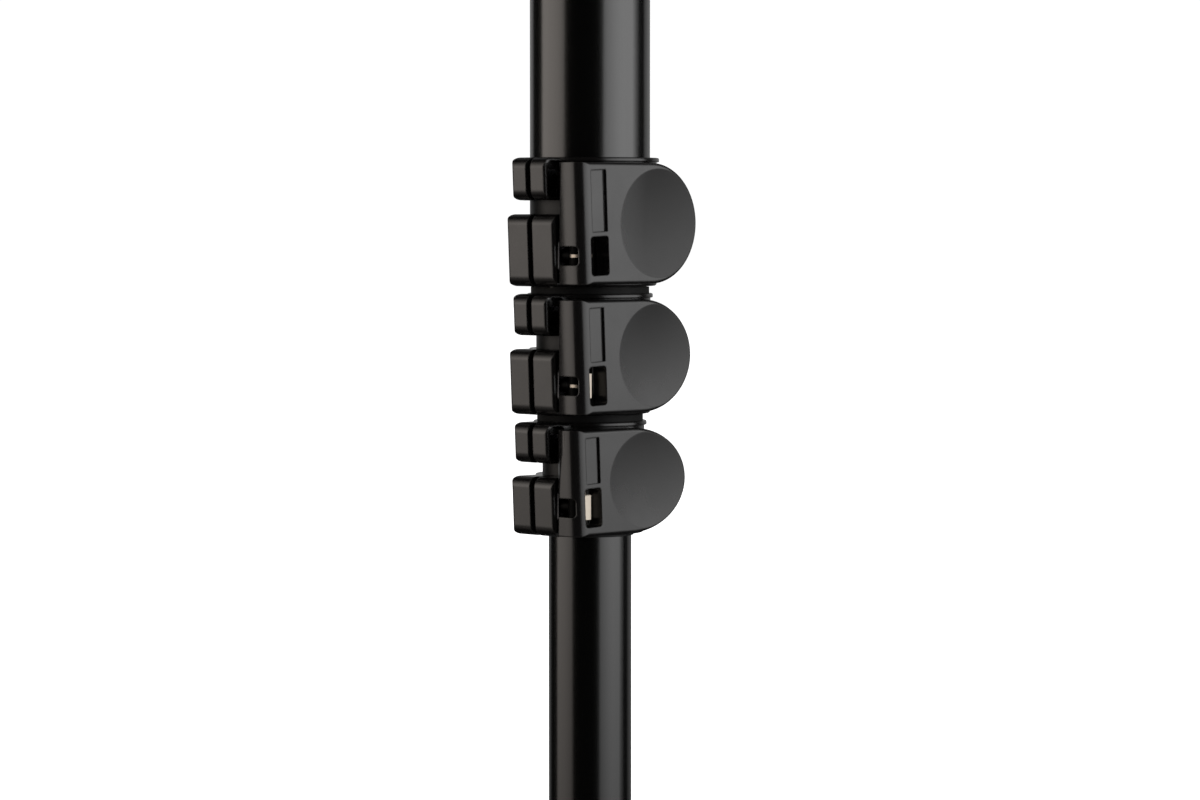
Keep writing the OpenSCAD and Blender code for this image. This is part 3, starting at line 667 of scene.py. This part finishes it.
low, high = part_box("camera_screw")
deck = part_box("platform")[1].z
shoulder = deck - flange_height + flange_gap
top = high.z - below_cad_top
outline = [
    (0, low.z),
    (small_core_r - point, low.z),
    (small_core_r, low.z + point),
    (small_core_r, shoulder),
    (flange_r - chamfer, shoulder),
    (flange_r, shoulder + chamfer),
    (flange_r, deck - chamfer),
    (flange_r - chamfer, deck),
    (big_core_r, deck),
    (big_core_r, high.z - tip),
    (tip_r, top),
    (0, top),
]
core = lathe("screw_core", outline)
above_deck = {**three_eighths, "Foot": deck + thread_gap, "Top": high.z - tip}
below_flange = {**one_quarter, "Foot": low.z + point, "Top": shoulder}
big = grow("big_thread", thread_tree, above_deck)
small = grow("small_thread", thread_tree, below_flange)
piece_of("camera_screw_threaded", [core, big, small], steel, "leg_top", "camera_screw")

# %% [markdown]
# ## Ribs by rule
# The grip's rubber has fine raised rings, so that a wet hand doesn't slip. They are one bead of
# round section, set at even steps from near the grip's foot to near its top, and they stand only
# a quarter of a millimetre proud. A second tree makes them, with the spacing as an input.

# %% Ribs around the grip
rib_spacing = 0.004
rib_sizes = {
    "Radius": 0.0226,
    "Proud": 0.00025,
    "Width": 0.0006,
    "Spacing": rib_spacing,
    "Foot": 0,
    "Top": 0.1,
}
rib_tree, given, close = growing_tree("ribs", rib_sizes, grip_rubber)
tree = rib_tree
length = maths(tree, "SUBTRACT", given["Top"], given["Foot"])
gaps = maths(tree, "FLOOR", maths(tree, "DIVIDE", length, given["Spacing"]))
count = maths(tree, "ADD", gaps, 1.0)
start = add(tree, "ShaderNodeCombineXYZ", {"Z": given["Foot"]})
step = add(tree, "ShaderNodeCombineXYZ", {"Z": given["Spacing"]})
row = {"Count": count, "Start Location": start, "Offset": step}
places = add(tree, "GeometryNodeMeshLine", row, out="Mesh", mode="OFFSET")
outside = maths(tree, "ADD", given["Radius"], given["Proud"])
ring_r = maths(tree, "SUBTRACT", outside, given["Width"])
around = {"Resolution": 96, "Radius": ring_r}
path = add(tree, "GeometryNodeCurvePrimitiveCircle", around, out="Curve")
section = {"Resolution": 8, "Radius": given["Width"]}
bead = add(tree, "GeometryNodeCurvePrimitiveCircle", section, out="Curve")
ring = add(tree, "GeometryNodeCurveToMesh", {"Curve": path, "Profile Curve": bead}, out="Mesh")
close(add(tree, "GeometryNodeInstanceOnPoints", {"Points": places, "Instance": ring}, out="Instances"))

low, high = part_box("grip")
on_grip = {"Radius": high.x, "Foot": low.z + rib_spacing, "Top": high.z - rib_spacing}
ribs = grow("grip_ribs", rib_tree, on_grip)
piece_of("grip_ribs", [ribs], grip_rubber, "leg_top")

# %% [markdown]
# ## The studio floor
# The photograph has an even white ground. Paper that is lit by two lights alone would shade away
# behind the object, so the floor also glows for the camera, more with distance, and stays plain
# paper for everything else.

# %% Floor
floor_radius = 8
# The glow grows between these two distances from the leg
near, far = 0.03, 0.28
glow_near, glow_far = 0.5, 1.05
disc = {"vertices": 128, "radius": floor_radius, "fill_type": "NGON", "location": (0, 0, 0)}
bpy.ops.mesh.primitive_circle_add(**disc)
floor = bpy.context.object
floor.name = "studio_floor"
paper, tree, shader = new_material("white_paper_floor", Roughness=0.85)
place = add(tree, "ShaderNodeTexCoord", out="Object")
away = vectors(tree, "LENGTH", place, out="Value")
glow = remap(tree, away, glow_near, glow_far, near, far)
to_camera = add(tree, "ShaderNodeLightPath", out="Is Camera Ray")
shader.inputs["Base Color"].default_value = hex_colour("f4f4f4")
shader.inputs["Emission Color"].default_value = hex_colour("ffffff")
wire(tree, shader, Emission_Strength=maths(tree, "MULTIPLY", glow, to_camera))
floor.data.materials.append(paper)
# The lights reach below the floor's level, as they do beside a table, so it hides none of them
floor.visible_glossy = False
floor.visible_shadow = False
print(floor.name, "radius", floor_radius, "m")

# %% [markdown]
# ## The lights
# There are two tall soft lights, one on each side, with nothing bright around the camera. On a
# black tube each light shows as one upright band, and the dark room between them shows as the
# black stripe down the middle. A mirror turned by an angle sends its reflection round by twice
# that angle, so the edges of the bands give the directions of the lights: the left one spans 50
# to 104 degrees from the camera, the right one 26 to 102. Both are weaker towards the ground,
# because the bands are darker on the lowest tube. The white ground behind the object shows only
# as a thin line at each edge.

# %% Lights
panel_distance = 2.0
panel_foot, panel_top = -1.4, 2.6
# Between these heights a panel goes from dim to its full strength, and from full to dim again
dim_below, full_from, full_to, dim_above = -0.55, 0.33, 0.4, 1.3
dim_foot, dim_top = 0.1, 0.35
# The share of its width over which a panel fades towards each edge
edge_share = 0.45


def panel(name, angle, half_span, brightness, colour="ffffff", inner=1.0, outer=1.0):
    """A soft light that covers half_span degrees to each side of an angle from the camera.

    It is brightest midway across and at a height a little above the locks. Inner and outer say
    how bright it is at its edge next the camera and at the far one.
    """
    height = (panel_foot + panel_top) / 2
    tall = panel_top - panel_foot
    data = bpy.data.lights.new(name, "AREA")
    data.shape = "RECTANGLE"
    data.size = 2 * panel_distance * math.tan(math.radians(half_span))
    data.size_y = tall
    data.energy = brightness * math.pi * data.size * tall
    data.color = hex_colour(colour)[:3]
    light = bpy.data.objects.new(name, data)
    bpy.context.scene.collection.objects.link(light)
    turn = math.radians(angle)
    light.location = (towards_eye * math.cos(turn) + to_the_right * math.sin(turn)) * panel_distance
    light.location.z = height
    light.rotation_euler = (Vector((0, 0, height)) - light.location).to_track_quat("-Z", "Y").to_euler()
    light.visible_camera = False
    data.use_nodes = True
    tree = data.node_tree
    on_panel = add(tree, "ShaderNodeNewGeometry", out="Parametric")
    spot = add(tree, "ShaderNodeSeparateXYZ", {"Vector": on_panel}).node.outputs
    first, last = (inner, outer) if angle > 0 else (outer, inner)
    limits = [(h - panel_foot) / tall for h in (dim_below, full_from, full_to, dim_above)]
    ramps = [
        remap(tree, spot["Y"], dim_foot, 1.0, *limits[:2]),
        remap(tree, spot["Y"], 1.0, dim_top, *limits[2:]),
        remap(tree, spot["X"], first, 1.0, 0.0, edge_share),
        remap(tree, spot["X"], 1.0, last, 1.0 - edge_share, 1.0),
    ]
    strength = ramps[0]
    for ramp in ramps[1:]:
        strength = maths(tree, "MULTIPLY", strength, ramp)
    tree.links.new(strength, tree.nodes["Emission"].inputs["Strength"])
    print(name, "width", round(data.size, 2), "m")


panel("left_softbox", -77, 27, 2.3, "fff6ee", inner=0.8)
panel("right_softbox", 64, 38, 3.3, inner=0.65, outer=0.7)
panel("ground_behind", 174, 46, 0.4)

# %% [markdown]
# ## The room
# The camera sees white behind everything. Matt surfaces get a little light from the room all
# round, as its walls throw some back, and mirrors see it almost black.

# %% The room around the studio
seen_white = 1.05
matt_light = 0.3
mirror_light = 0.01

world = bpy.data.worlds.new("studio")
bpy.context.scene.world = world
world.use_nodes = True
tree = world.node_tree
tree.nodes.clear()
rays = add(tree, "ShaderNodeLightPath").node.outputs
white = hex_colour("ffffff")
ground = add(tree, "ShaderNodeBackground", {"Color": white, "Strength": seen_white})
level = maths(tree, "MULTIPLY_ADD", rays["Is Diffuse Ray"], matt_light, mirror_light)
room = add(tree, "ShaderNodeBackground", {"Color": white, "Strength": level})
mixed = add(tree, "ShaderNodeMixShader", {0: rays["Is Camera Ray"], 1: room, 2: ground})
tree.links.new(mixed, tree.nodes.new("ShaderNodeOutputWorld").inputs["Surface"])
bpy.context.scene.view_settings.view_transform = "Standard"
